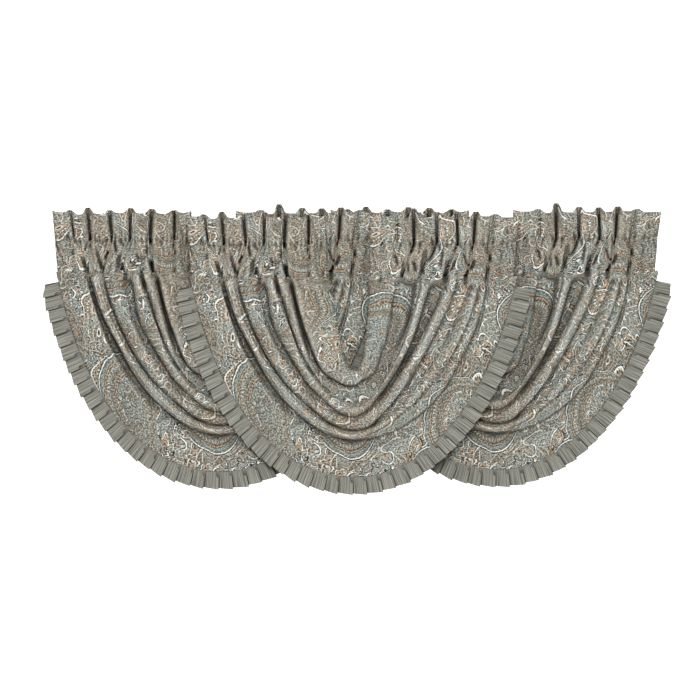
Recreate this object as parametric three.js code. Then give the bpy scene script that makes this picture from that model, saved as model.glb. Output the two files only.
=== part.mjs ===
// Three gathered waterfall valances, hung one before the other over a window.
// Millimetres, +Z up, +X to the right, the front towards -Y. Each valance is four sewn pieces: a gathered
// heading with a rod pocket at each shoulder, one swagged panel between them and a knife-pleated trim.
import * as THREE from "three";

// Driving dimensions of one valance. X is measured from its middle, Y and Z from the rod's axis.
const PANEL_CLOTH = 1.5; // thickness of the swagged panel
const SEW_GAP = 0.3; // gap between two pieces that are sewn together
const SEAM_Z = 42; // the two rows of stitching lie this far above and below the rod's axis
const FRILL_Z = 110; // top edge of the frill that stands above the rod pocket
const FRILL_CLOTH = 3; // doubled cloth of the frill
const SEAM_CLOTH = 4; // doubled and gathered cloth at the stitching
const POCKET_FRONT_Y = -23; // furthest forward that the gathers on the pocket reach
const POCKET_BACK_Y = 19; // flat back of the pocket
const POCKET_WALL = 2; // cloth around the rod
const POCKET_FULL_Z = 24; // the pocket keeps its full depth this far above and below the rod's axis
const POCKET_ROOM_Z = 34; // the room inside the pocket ends here, short of the stitching
const GATHER_FRILL = 20; // height of the gathers along the frill's top edge
const GATHER_UPPER = 7; // height of the gathers where the upper stitching holds them
const GATHER_LOWER = 11; // the same at the lower stitching, where they run on into the panel
const GATHER_POCKET = 8; // height of the gathers on the pocket's front
const GATHER_STATIONS = [0, 0.14, 0.5, 0.86]; // places worked out from each pinch to the next
const TRIM_WIDTH = 42; // pleated trim below the hem, without the kick of its corners
const TRIM_LAP = 4; // trim sewn behind the hem
const TRIM_CLOTH = 1.5; // thickness of a pleat
const TRIM_ENDS = 0.02; // share of the hem left bare at each end, below the headings
const PLEATS = 42; // knife pleats along one hem
const PLEAT_STEP = 5; // step from one pleat to the next at the free edge
const PLEAT_STEP_SEWN = 1.2; // the same step where the pleats are stitched down
const PLEAT_KICK = 5; // how far the free corner of a pleat hangs below its neighbour
const PLEAT_EDGE = 0.03; // share of a pleat taken up by the step at its edge
const DROP_PULL = 0.4; // share of its drop over which a fold keeps the direction it leaves the heading in
const PINCHED = 0.4; // share of a fold's depth left where the stitching pinches it
const PINCH_RUN = 0.2; // share of the way to the bottom over which the fold opens out
const STEPS_DOWN = 8; // steps along a fold, from a heading to its lowest point
const STEPS_ACROSS = 3; // steps from a crest to the next groove

const named = (columns, rows) =>
  rows.map((row) => Object.fromEntries(columns.map((column, k) => [column, row[k]])));

// The valances from front to back, a pocket's depth apart: where the middle of each one's rod lies. The
// part's origin is the middle of the front rod.
const LAYER = POCKET_BACK_Y - POCKET_FRONT_Y + SEW_GAP;
const VALANCES = named(
  ["name", "x", "y", "z"],
  [
    ["front", 0, 0, 0],
    ["left", -337, LAYER, 12],
    ["right", 360, 2 * LAYER, 16],
  ],
);

// The pinches of the gathers on each heading from left to right, its two ends among them: where each lies
// along the frill's edge and along the upper and lower stitching, its depth as a share of the gathers'
// height, and how much the frill's edge rises there.
const PINCH_COLUMNS = ["frillX", "upperX", "lowerX", "depth", "rise"];
const PINCHES = {
  left: named(PINCH_COLUMNS, [
    [-424, -418, -410, 0.2, 0],
    [-376, -366, -364, 0.4, 2],
    [-333, -328, -332, 1.0, 9],
    [-279, -272, -295, 0.9, 3],
    [-226, -228, -252, 1.0, 8],
    [-173, -178, -167, 1.0, 6],
    [-116, -115, -118, 0.7, 3],
    [-71, -70, -68, 0.2, 0],
  ]),
  right: named(PINCH_COLUMNS, [
    [34, 34, 35, 0.2, 0],
    [104, 106, 84, 0.5, 3],
    [146, 142, 118, 1.0, 9],
    [205, 192, 158, 0.9, 5],
    [254, 258, 222, 1.0, 7],
    [301, 296, 278, 1.0, 8],
    [349, 332, 330, 0.5, 3],
    [415, 406, 398, 0.2, -5],
  ]),
};

// The folds of the panel from the neckline to the hem, a row for each crest and groove. X is where it leaves
// a heading, lean how far it runs inwards there for each millimetre that it drops, spread how wide the round
// of its bottom is, bottomZ its lowest point, and Y how far back it lies at the left, bottom and right.
const FOLDS = named(
  [
    "leftX", "leftLean", "leftSpread", "leftY", "bottomZ", "bottomY",
    "rightY", "rightSpread", "rightLean", "rightX", "what",
  ],
  [
    [-68, 0.2, 0.5, -8, -274, -18, -9, 0.5, 0.05, 35, "neckline"],
    [-122, 0.25, 0.5, -20, -298, -28, -23, 0.4, 0.08, 60, "cowl"],
    [-162, 0.3, 0.5, 6, -318, -4, 6, 0.35, 0.1, 82, "crease below the cowl"],
    [-172, 0.3, 0.45, 5, -338, -8, 8, 0.3, 0.15, 140, "broad hollow, on the right"],
    [-207, 0.3, 0.4, -24, -368, -29, -29, 0.3, 0.25, 175, "long roll"],
    [-252, 0.3, 0.35, 6, -394, 4, 7, 0.25, 0.5, 220, "second groove"],
    [-265, 0.27, 0.38, -12, -402, -16, -20, 0.28, 0.42, 225, "narrow roll"],
    [-272, 0.25, 0.42, -4, -409, -7, -4, 0.32, 0.28, 230, "faint groove"],
    [-280, 0.22, 0.46, -17, -415, -22, -23, 0.38, 0.28, 255, "third roll"],
    [-295, 0.2, 0.5, 6, -424, 5, 4, 0.45, 0.27, 278, "third groove"],
    [-310, 0.2, 0.5, -27, -436, -25, -25, 0.5, 0.24, 298, "outer roll"],
    [-332, 0.2, 0.5, 9, -453, 4, 8, 0.5, 0.2, 330, "outer groove"],
    [-368, 0.2, 0.5, -6, -490, -7, -6, 0.5, 0.17, 358, "smooth band"],
    [-410, 0.2, 0.5, 0, -542, 0, 0, 0.5, 0.17, 398, "hem"],
  ],
);

const PANEL_COLOUR = 0x8b857a;
const TRIM_COLOUR = 0x918c82;

const mix = (a, b, share) => a + (b - a) * share;
const ease = (share) => (1 - Math.cos(Math.PI * THREE.MathUtils.clamp(share, 0, 1))) / 2;

// A closed body from points and from faces of three or four corners, turned so that its faces point out.
function closedBody(points, faces) {
  const triangles = faces.flatMap(([a, b, c, d]) => (d === undefined ? [[a, b, c]] : [[a, b, c], [a, c, d]]));
  const volume = triangles.reduce(
    (sum, [a, b, c]) => sum + points[a].dot(new THREE.Vector3().crossVectors(points[b], points[c])),
    0,
  );
  const outwards = volume > 0 ? triangles : triangles.map(([a, b, c]) => [a, c, b]);
  const geometry = new THREE.BufferGeometry().setFromPoints(points);
  geometry.setIndex(outwards.flat());
  geometry.computeVertexNormals();
  return geometry;
}

// The faces between neighbouring rows of points that are numbered row after row. A ring's row closes.
function rowFaces(rows, columns, first, ring) {
  const faces = [];
  const at = (r, c) => first + r * columns + (c % columns);
  for (let r = 0; r + 1 < rows; r++)
    for (let c = 0; c < (ring ? columns : columns - 1); c++)
      faces.push([at(r, c), at(r, c + 1), at(r + 1, c + 1), at(r + 1, c)]);
  return faces;
}

const turned = (faces) => faces.map((face) => [...face].reverse());

// A sheet of cloth: its front, its back and the edge between them all the way round.
function sheetBody(front, back) {
  const rows = front.length;
  const columns = front[0].length;
  const size = rows * columns;
  const rim = [];
  for (let c = 0; c + 1 < columns; c++) rim.push(c);
  for (let r = 0; r + 1 < rows; r++) rim.push(r * columns + columns - 1);
  for (let c = columns - 1; c > 0; c--) rim.push((rows - 1) * columns + c);
  for (let r = rows - 1; r > 0; r--) rim.push(r * columns);
  const edge = rim.map((at, k) => {
    const next = rim[(k + 1) % rim.length];
    return [next, at, at + size, next + size];
  });
  return closedBody(
    [...front.flat(), ...back.flat()],
    [...rowFaces(rows, columns, 0, false), ...turned(rowFaces(rows, columns, size, false)), ...edge],
  );
}

// A sleeve: rings of points round its outside and round the room inside it, with an open end at each side.
function sleeveBody(outside, inside) {
  const stations = outside.length;
  const first = outside.flat().length;
  const section = ([ring]) => ring.map((p) => new THREE.Vector2(p.y, p.z));
  const corners = [...outside[0].keys(), ...[...inside[0].keys()].map((k) => first + k)];
  const endFaces = THREE.ShapeUtils.triangulateShape(section(outside), [section(inside)]);
  const startEnd = turned(endFaces.map((face) => face.map((k) => corners[k])));
  const shift = (k) => k + (stations - 1) * (k < first ? outside[0].length : inside[0].length);
  const farEnd = turned(startEnd.map((face) => face.map(shift)));
  return closedBody(
    [...outside.flat(), ...inside.flat()],
    [
      ...rowFaces(stations, outside[0].length, 0, true),
      ...turned(rowFaces(stations, inside[0].length, first, true)),
      ...startEnd,
      ...farEnd,
    ],
  );
}

// The stations of a heading: forward is 1 on the round between two pinches and falls to less in a pinch.
function gatherStations(pinches) {
  const between = (from, to, share) => {
    const pinch = 1 - Math.sqrt(Math.sin(Math.PI * share));
    return {
      frillX: mix(from.frillX, to.frillX, share),
      upperX: mix(from.upperX, to.upperX, share),
      lowerX: mix(from.lowerX, to.lowerX, share),
      forward: 1 - pinch * mix(from.depth, to.depth, share),
      rise: mix(from.rise, to.rise, share),
    };
  };
  const stations = pinches
    .slice(1)
    .flatMap((to, k) => GATHER_STATIONS.map((share) => between(pinches[k], to, share)));
  const end = pinches[pinches.length - 1];
  return [...stations, between(end, end, 0)];
}

// A point of a heading, at its own place along the band for each height.
function headingPoint({ frillX, upperX, lowerX }, y, z) {
  const inPocket = mix(lowerX, upperX, (z + SEAM_Z) / (2 * SEAM_Z));
  const inFrill = mix(upperX, frillX, (z - SEAM_Z) / (FRILL_Z - SEAM_Z));
  return new THREE.Vector3(z < SEAM_Z ? inPocket : inFrill, y, z);
}

// A heading's outside runs from the frill's edge down the front and up the back.
function heading(side) {
  const stations = gatherStations(PINCHES[side]);
  const outside = stations.map((station) => {
    const { forward, rise } = station;
    const frillY = -GATHER_FRILL * forward;
    const upperY = -GATHER_UPPER * forward;
    const lowerY = -GATHER_LOWER * forward;
    const pocketY = POCKET_FRONT_Y + GATHER_POCKET * (1 - forward);
    return [
      headingPoint(station, frillY - FRILL_CLOTH / 2, FRILL_Z + rise),
      headingPoint(station, upperY - SEAM_CLOTH / 2, SEAM_Z),
      headingPoint(station, pocketY, POCKET_FULL_Z),
      headingPoint(station, pocketY, -POCKET_FULL_Z),
      headingPoint(station, lowerY - SEAM_CLOTH / 2, -SEAM_Z),
      headingPoint(station, lowerY + SEAM_CLOTH / 2, -SEAM_Z),
      headingPoint(station, POCKET_BACK_Y, -POCKET_FULL_Z),
      headingPoint(station, POCKET_BACK_Y, POCKET_FULL_Z),
      headingPoint(station, upperY + SEAM_CLOTH / 2, SEAM_Z),
      headingPoint(station, frillY + FRILL_CLOTH / 2, FRILL_Z + rise),
    ];
  });
  const inside = stations.map((station) => {
    const pocketY = POCKET_FRONT_Y + GATHER_POCKET * (1 - station.forward) + POCKET_WALL;
    const backY = POCKET_BACK_Y - POCKET_WALL;
    return [
      headingPoint(station, pocketY, POCKET_FULL_Z),
      headingPoint(station, pocketY, -POCKET_FULL_Z),
      headingPoint(station, -GATHER_LOWER * station.forward, -POCKET_ROOM_Z),
      headingPoint(station, backY, -POCKET_FULL_Z),
      headingPoint(station, backY, POCKET_FULL_Z),
      headingPoint(station, -GATHER_UPPER * station.forward, POCKET_ROOM_Z),
    ];
  });
  return sleeveBody(outside, inside);
}

// Half of a fold's line as seen from the front, from a heading down to its lowest point.
function foldLine(startX, lean, spread, bottomZ) {
  const startZ = -SEAM_Z - SEW_GAP;
  const pull = (startZ - bottomZ) * DROP_PULL;
  return new THREE.CubicBezierCurve(
    new THREE.Vector2(startX, startZ),
    new THREE.Vector2(startX - Math.sign(startX) * lean * pull, startZ - pull),
    new THREE.Vector2(startX * spread, bottomZ),
    new THREE.Vector2(0, bottomZ),
  );
}

const FOLD_LINES = FOLDS.map((fold) => ({
  left: foldLine(fold.leftX, fold.leftLean, fold.leftSpread, fold.bottomZ),
  right: foldLine(fold.rightX, fold.rightLean, fold.rightSpread, fold.bottomZ),
}));

// A point on one row of FOLDS. Across runs from -1 at the left heading to 1 at the right one.
function foldPoint(row, across) {
  const side = across < 0 ? "left" : "right";
  const down = 1 - Math.abs(across);
  const seen = FOLD_LINES[row][side].getPoint(down);
  const opened = mix(PINCHED, 1, ease(down / PINCH_RUN));
  const toBottom = ease((down - PINCH_RUN) / (1 - PINCH_RUN));
  const y = opened * mix(FOLDS[row][side + "Y"], FOLDS[row].bottomY, toBottom);
  return new THREE.Vector3(seen.x, y, seen.y);
}

// A point on the panel. Fold counts the rows of FOLDS, and the cloth swings smoothly from each to the next.
function panelPoint(across, fold) {
  const row = Math.min(Math.floor(fold), FOLDS.length - 2);
  const from = foldPoint(row, across);
  const to = foldPoint(row + 1, across);
  const y = mix(from.y, to.y, ease(fold - row));
  return from.lerp(to, fold - row).setY(y);
}

// The direction square to the panel, away from the viewer. It is level at the stitching, below the heading.
function panelBackwards(across, fold) {
  const nudge = 0.01;
  const last = FOLDS.length - 1;
  const left = panelPoint(Math.max(across - nudge, -1), fold);
  const right = panelPoint(Math.min(across + nudge, 1), fold);
  const above = panelPoint(across, Math.max(fold - nudge, 0));
  const below = panelPoint(across, Math.min(fold + nudge, last));
  const square = right.sub(left).cross(above.sub(below)).normalize();
  if (square.y < 0) square.negate();
  return Math.abs(across) === 1 ? square.setZ(0).normalize() : square;
}

function swag() {
  const stops = (from, to, steps) =>
    Array.from({ length: (to - from) * steps + 1 }, (_, k) => from + k / steps);
  const folds = stops(0, FOLDS.length - 1, STEPS_ACROSS);
  const places = stops(-1, 1, STEPS_DOWN).map((across) => folds.map((fold) => [across, fold]));
  const front = places.map((row) => row.map((place) => panelPoint(...place)));
  const back = places.map((row) =>
    row.map((place) => panelPoint(...place).addScaledVector(panelBackwards(...place), PANEL_CLOTH)),
  );
  return sheetBody(front, back);
}

// The pleated trim follows the hem behind the panel. Each pleat starts under the one before it and comes
// forward to its free edge, where it steps back for the next.
function trim() {
  const { left, right } = FOLD_LINES[FOLDS.length - 1];
  const hem = new THREE.CurvePath();
  hem.add(left);
  hem.add(new THREE.CubicBezierCurve(right.v3, right.v2, right.v1, right.v0));
  const sewnY = PANEL_CLOTH + SEW_GAP;
  const station = (share, lift) => {
    const along = mix(TRIM_ENDS, 1 - TRIM_ENDS, share);
    const at = hem.getPointAt(along);
    const run = hem.getTangentAt(along);
    const point = (outwards, y) => new THREE.Vector3(at.x + run.y * outwards, y, at.y - run.x * outwards);
    return [
      point(-TRIM_LAP, sewnY + PLEAT_STEP_SEWN * (1 - lift)),
      point(TRIM_WIDTH + PLEAT_KICK * lift, sewnY + PLEAT_STEP * (1 - lift)),
    ];
  };
  const front = [];
  for (let pleat = 0; pleat < PLEATS; pleat++)
    front.push(station((pleat + PLEAT_EDGE) / PLEATS, 0), station((pleat + 1 - PLEAT_EDGE) / PLEATS, 1));
  const back = front.map((row) => row.map((p) => p.clone().setY(p.y + TRIM_CLOTH)));
  return sheetBody(front, back);
}

const cloth = (color) => new THREE.MeshStandardMaterial({ color, roughness: 0.9, metalness: 0 });
const panelCloth = cloth(PANEL_COLOUR);
const trimCloth = cloth(TRIM_COLOUR);
const pieces = [
  ["swag", swag(), panelCloth],
  ["heading_left", heading("left"), panelCloth],
  ["heading_right", heading("right"), panelCloth],
  ["trim", trim(), trimCloth],
];

const valances = new THREE.Group();
for (const { name, x, y, z } of VALANCES) {
  const valance = new THREE.Group();
  valance.position.set(x, y, z);
  for (const [piece, geometry, material] of pieces) {
    const mesh = new THREE.Mesh(geometry, material);
    mesh.name = `${name}_${piece}`;
    valance.add(mesh);
  }
  valances.add(valance);
}

export default valances;
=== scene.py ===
# %% [markdown]
# # Three waterfall valances in paisley jacquard
# The object is a window dressing of three like valances, hung one before the other. Each is a swagged
# panel between two gathered headings, with a knife-pleated trim along its hem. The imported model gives
# the frame: where every piece hangs and how large it is. This lesson sews the visible cloth around that
# frame.

# %% Load the frame and keep its box
import math

import bpy
import numpy as np
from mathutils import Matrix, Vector


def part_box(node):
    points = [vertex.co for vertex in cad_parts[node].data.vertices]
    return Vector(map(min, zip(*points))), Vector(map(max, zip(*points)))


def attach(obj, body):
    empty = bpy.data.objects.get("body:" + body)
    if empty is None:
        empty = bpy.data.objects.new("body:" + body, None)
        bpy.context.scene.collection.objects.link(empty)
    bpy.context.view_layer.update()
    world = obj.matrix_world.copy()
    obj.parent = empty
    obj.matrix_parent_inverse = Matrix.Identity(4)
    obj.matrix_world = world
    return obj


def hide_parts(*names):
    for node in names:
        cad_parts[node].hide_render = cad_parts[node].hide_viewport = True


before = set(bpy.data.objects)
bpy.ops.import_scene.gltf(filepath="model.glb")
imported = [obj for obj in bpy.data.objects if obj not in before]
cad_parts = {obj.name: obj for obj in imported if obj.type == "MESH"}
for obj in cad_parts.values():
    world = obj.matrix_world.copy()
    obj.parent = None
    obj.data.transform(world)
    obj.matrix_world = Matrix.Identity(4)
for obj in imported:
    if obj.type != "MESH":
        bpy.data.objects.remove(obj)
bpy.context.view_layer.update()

MM = 0.001

# %% [markdown]
# ## Where the three valances hang
# All three are sewn to one pattern, so one set of measures serves them all. Each is made around its own
# rod, and is then moved to the place of that rod. The places could be typed in, but the boxes of the swags
# and headings in the frame give them exactly.

# %% Places of the rods
SEAM_Z = 42 * MM  # the two rows of stitching lie this far above and below the rod's axis
POCKET_BACK_Y = 19 * MM  # flat back of the rod pocket
HEM_BOTTOM_Z = -542 * MM  # lowest point of the panel's hem
PANEL_RIGHT_X = 398 * MM  # where the hem leaves the right heading


def rod_place(name):
    """The middle of a valance's rod: to the left of the panel's right end, and in from the pocket's back."""
    swag_low, swag_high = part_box(name + "_swag")
    _, heading_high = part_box(name + "_heading_left")
    x = swag_high[0] - PANEL_RIGHT_X
    y = heading_high[1] - POCKET_BACK_Y
    z = swag_low[2] - HEM_BOTTOM_Z
    return np.array([x, y, z])


RODS = {name: rod_place(name) for name in ("front", "left", "right")}
for name, place in RODS.items():
    print("rod", name, place.round(4))

# %% [markdown]
# ## From a grid of points to a piece of cloth
# A sheet of cloth is a grid: one parameter runs along it and the other across it. Every shape in this
# lesson comes as such a grid, worked out in whole numpy arrays, with the flat place of each point
# before the cloth was gathered. The flat place becomes the UV map, in metres, so a woven figure bends
# into the folds with the cloth. A Solidify modifier gives the thickness behind the face.

# %% Build a sheet from a grid
UV_NAME = "flat_cloth"
# the attribute from which the materials paint shade and highlight into the colour: crease depth on the
# panels, the shade under each pleat on the trim
CREASE_NAME = "crease_depth"


def mark_border(mesh, rows, columns):
    """Marks the edges round the grid as sharp, so that the cut edge doesn't shade the cloth beside it."""
    border = np.ones((rows, columns), dtype=bool)
    border[1:-1, 1:-1] = False
    ends = np.zeros(2 * len(mesh.edges), dtype=np.int32)
    mesh.edges.foreach_get("vertices", ends)
    sharp = border.reshape(-1)[ends.reshape(-1, 2)].all(1)
    mesh.attributes.new("sharp_edge", "BOOLEAN", "EDGE").data.foreach_set("value", sharp)


def sheet_piece(name, points, flat, crease, thickness):
    """A mesh whose faces are the cells of a grid of points (rows, columns, 3).

    The flat place of each point becomes its UV, and the depth of its crease becomes an attribute, which the
    materials paint into the colour as shade and highlight.
    """
    rows, columns = points.shape[:2]
    number = np.arange(rows * columns).reshape(rows, columns)
    corners = [number[:-1, :-1], number[1:, :-1], number[1:, 1:], number[:-1, 1:]]
    cells = np.stack(corners, axis=-1).reshape(-1, 4)
    mesh = bpy.data.meshes.new(name)
    mesh.vertices.add(rows * columns)
    mesh.vertices.foreach_set("co", points.reshape(-1).astype(np.float32))
    mesh.loops.add(cells.size)
    mesh.loops.foreach_set("vertex_index", cells.reshape(-1).astype(np.int32))
    mesh.polygons.add(len(cells))
    mesh.polygons.foreach_set("loop_start", np.arange(0, cells.size, 4, dtype=np.int32))
    mesh.polygons.foreach_set("use_smooth", np.ones(len(cells), dtype=bool))
    uv = mesh.uv_layers.new(name=UV_NAME)
    uv.data.foreach_set("uv", flat.reshape(-1, 2)[cells.reshape(-1)].reshape(-1).astype(np.float32))
    mesh.update(calc_edges=True)
    mark_border(mesh, rows, columns)
    mesh.attributes.new(CREASE_NAME, "FLOAT", "POINT").data.foreach_set("value", crease.reshape(-1))
    piece = bpy.data.objects.new(name, mesh)
    bpy.context.scene.collection.objects.link(piece)
    solidify = piece.modifiers.new("cloth thickness", "SOLIDIFY")
    solidify.thickness = thickness
    solidify.offset = -1
    print(name, rows, "x", columns, "points,", 4 * len(cells), "triangles with thickness")
    return piece


def run_lengths(points, axis):
    """Length walked along one axis of a grid up to each point, starting at 0."""
    steps = np.linalg.norm(np.diff(points, axis=axis), axis=-1)
    return np.concatenate([np.zeros_like(steps.take([0], axis)), np.cumsum(steps, axis)], axis)


# %% [markdown]
# ## How deep a crease is
# The bottom of a crease gets little light, and the crest of a fold catches more. A shader could find
# that with rays while it renders, but that is slow, and other pieces nearby would count as well. Here
# each point is compared with the mean of the cloth beside it, once, when its sheet is made. The sheet
# keeps the result as an attribute, and the materials paint it into the cloth's colour: painted shade
# in the creases and a painted highlight on the crests.

# %% Depth behind the cloth beside it
FOLD_REACH = 14 * MM
CREASES = (  # reach, depth that counts in full, and share of the shade
    (5 * MM, 6 * MM, 0.6),  # fine creases
    (FOLD_REACH, 13 * MM, 1.0),  # folds
    (40 * MM, 22 * MM, 0.65),  # broad hollows
)
CREST_FULL = 9 * MM  # a crest this far before the cloth beside it counts in full
CREST_GONE = 0.1  # a crease of this depth hides a crest
print("creases are looked for within", [round(reach / MM) for reach, _, _ in CREASES], "mm")


def behind_mean(lines, steps, reach):
    """How far each point lies behind the mean of its line, with weights that fall off as a bell curve."""
    walked = np.cumsum(steps, 1)
    apart = (walked[:, :, None] - walked[:, None, :]) / reach
    weights = np.exp(-(apart**2)) * steps[:, None, :]
    return lines[..., 1] - (weights * lines[:, None, :, 1]).sum(-1) / weights.sum(-1)


def crease_depth(points, axis):
    """How deep in a crease each point lies, up to 1, and on a crest less than 0, down to -1.

    A point's depth is how far it lies behind the mean of the cloth beside it along one axis of the
    grid, as seen from the front. It is taken over several reaches, and the largest counts.
    """
    lines = np.moveaxis(points, axis, 1)
    steps = np.linalg.norm(np.gradient(lines[..., [0, 2]], axis=1), axis=-1)
    depth = np.zeros_like(steps)
    for reach, full, share in CREASES:
        depth = np.maximum(depth, share * np.clip(behind_mean(lines, steps, reach) / full, 0, 1))
    crest = np.clip(-behind_mean(lines, steps, FOLD_REACH) / CREST_FULL, 0, 1)
    value = depth - crest * np.clip(1 - depth / CREST_GONE, 0, 1)
    return np.moveaxis(value, 1, axis).astype(np.float32)


# %% Easing and waves with fixed phases
def ease(share):
    """A share from 0 to 1 that starts and ends level: half a cosine."""
    return (1 - np.cos(np.pi * np.clip(share, 0, 1))) / 2


def soft_noise(u, v, count, longest, shortest, seed):
    """A sum of waves over two parameters, about -1 to 1, of many lengths and in all directions."""
    draw = np.random.default_rng(seed)
    lengths = np.geomspace(longest, shortest, count)
    turns = draw.uniform(0, np.pi, count)
    phases = draw.uniform(0, 2 * np.pi, count)
    waves = [
        np.sin(2 * np.pi * (u * np.cos(turn) + v * np.sin(turn)) / length + phase)
        for length, turn, phase in zip(lengths, turns, phases)
    ]
    return sum(waves) / np.sqrt(count)


print("a quarter of the way eases to", round(float(ease(0.25)), 3))

# %% [markdown]
# ## The headings
# Each heading is one band, folded over at the top: up the front, over the frill's edge and down the
# back. Two rows of stitching close it into a frill above and a pocket for the rod below, and the thread
# gathers it into upright tubes with narrow clefts between. So the band is a profile carried along a
# line of pinches from a table: each pinch has its own place at the frill's edge and at both rows of
# stitching, so the tubes lean. Slits and darts, short grooves that start at the stitching, then crease it.

# %% The pinches of the headings
FRILL_Z = 110 * MM  # top edge of the frill
PINCH_COLUMNS = ("frill_x", "upper_x", "lower_x", "depth", "ear")
PINCHES = {
    "left": np.array([
        [-424, -418, -410, 0.20, 0],
        [-376, -366, -364, 0.30, 3],
        [-333, -328, -332, 0.60, 10],
        [-279, -272, -295, 0.75, 3],
        [-226, -228, -252, 0.90, 9],
        [-173, -178, -167, 1.00, 7],
        [-116, -115, -118, 0.50, 3],
        [-71, -70, -68, 0.20, 0],
    ]),
    "right": np.array([
        [34, 34, 35, 0.20, 0],
        [104, 106, 84, 0.15, 3],
        [146, 146, 118, 1.00, 19],
        [205, 204, 158, 0.75, 9],
        [254, 258, 222, 1.00, 8],
        [301, 296, 278, 1.00, 10],
        [349, 332, 330, 0.12, 3],
        [415, 406, 398, 0.20, -4],
    ]),
}
print({side: len(table) - 2 for side, table in PINCHES.items()}, "pinches")

# %% One tube after another
TUBE_STEPS = 42  # steps round one tube
TUBE_POWER = 0.62  # 1 is a round tube, less is a flatter one with steeper sides
TUBE_SIZE = (50 * MM, 30 * MM)  # width and depth of a common tube
CLEFT = 0.14  # share of a tube's width left open at its cleft
EAR_WIDTH = 0.2  # share of a tube's width over which the edge rises into an ear
EDGE_DIP = 9 * MM  # how far the frill's edge dips between two pinches
ROW_SAG = 12 * MM  # how far a row of stitching sags between two pinches
HEADING_SEEDS = {"left": 11, "right": 23}
FINE_STEPS = 50  # steps of the outline for each step that is kept
FULLNESS = (0.82, 1.0)  # the draws for each tube: how full it is
DIPS = (0.4, 1.2)  # how far its edge dips
UPPER_SAGS = (0.2, 1.0)  # and how far its two rows of stitching sag
LOWER_SAGS = (-0.6, 1.0)


def round_a_tube():
    """Shares of the width and of the depth at each step round a tube, evenly spaced along its outline.

    The outline is half a superellipse: cosine and sine of the way round, each raised to a power. It
    starts and ends a little inside the two pinches, which leaves the clefts open.
    """
    turn = np.linspace(0, np.pi, FINE_STEPS * TUBE_STEPS)
    swing = np.sign(np.cos(turn)) * np.abs(np.cos(turn)) ** TUBE_POWER
    outline = np.stack([(1 - (1 - CLEFT) * swing) / 2, np.abs(np.sin(turn)) ** TUBE_POWER], axis=-1)
    walked = run_lengths(outline * TUBE_SIZE, 0)
    even = np.linspace(0, walked[-1], TUBE_STEPS + 1)
    return [np.interp(even, walked, column) for column in outline.T]


def gathered_line(side):
    """Places along a band: x at its three levels, how far forward the tubes stand, and the edge's rise.

    Each tube has a seeded fullness of its own. An ear is a bump of the edge round its pinch, with a
    flat top: an exponential of the fourth power of the distance.
    """
    table = PINCHES[side]
    tubes = len(table) - 1
    tube = np.repeat(np.arange(tubes), TUBE_STEPS + 1)
    share, out = (np.tile(column, tubes) for column in round_a_tube())
    columns = table[tube] * (1 - share[:, None]) + table[tube + 1] * share[:, None]
    line = dict(zip(PINCH_COLUMNS, columns.T))
    for name in ("frill_x", "upper_x", "lower_x"):
        line[name] = line[name] * MM
    draw = np.random.default_rng(HEADING_SEEDS[side])
    fullness = draw.uniform(*FULLNESS, tubes)[tube]
    dip = draw.uniform(*DIPS, tubes)[tube] * EDGE_DIP
    line["forward"] = fullness * (1 - line["depth"] * (1 - out))
    from_pinch = np.minimum(share, 1 - share)
    nearest = np.where(share < 0.5, table[tube, -1], table[tube + 1, -1]) * MM
    belly = np.sin(np.pi * share)
    line["rise"] = nearest * np.exp(-((from_pinch / EAR_WIDTH) ** 4)) - dip * belly
    line["upper_sag"] = draw.uniform(*UPPER_SAGS, tubes)[tube] * ROW_SAG * belly
    line["lower_sag"] = draw.uniform(*LOWER_SAGS, tubes)[tube] * ROW_SAG * belly
    return line


# %% The band's profile
POCKET_STEPS, FRILL_STEPS, EDGE_STEPS, BACK_STEPS = 24, 16, 5, 5
FRILL_CLOTH = 3 * MM  # front and back of the frill together
SEAM_CLOTH = 4 * MM  # and at the stitching
POCKET_FRONT_Y = -27 * MM
FRILL_FORWARD = 24 * MM  # how far the tubes stand out at the frill
CLEFT_BACK = 7 * MM  # how far behind the stitching the clefts of the frill go
UPPER_FORWARD = 14 * MM  # at the upper row of stitching
LOWER_FORWARD = 22 * MM  # at the lower one, where the gathers run on into the swag
ROW_REACH = 16 * MM  # how far from a row of stitching its sag is felt
POCKET_HOLLOW = 3 * MM  # and how far the pocket's clefts go in
LOWER_PINCH = 0.35  # share of the clefts left at the lower row of stitching
FRONT_POWER, BACK_POWER = 0.9, 0.3  # how round the pocket is before and behind: less is squarer
BARREL = 0.45  # share of the frill's height over which a tube swells above the stitching
LEAN_END = 1.2  # a tube's lean goes on into the ears, up to this share of the frill's height


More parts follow.
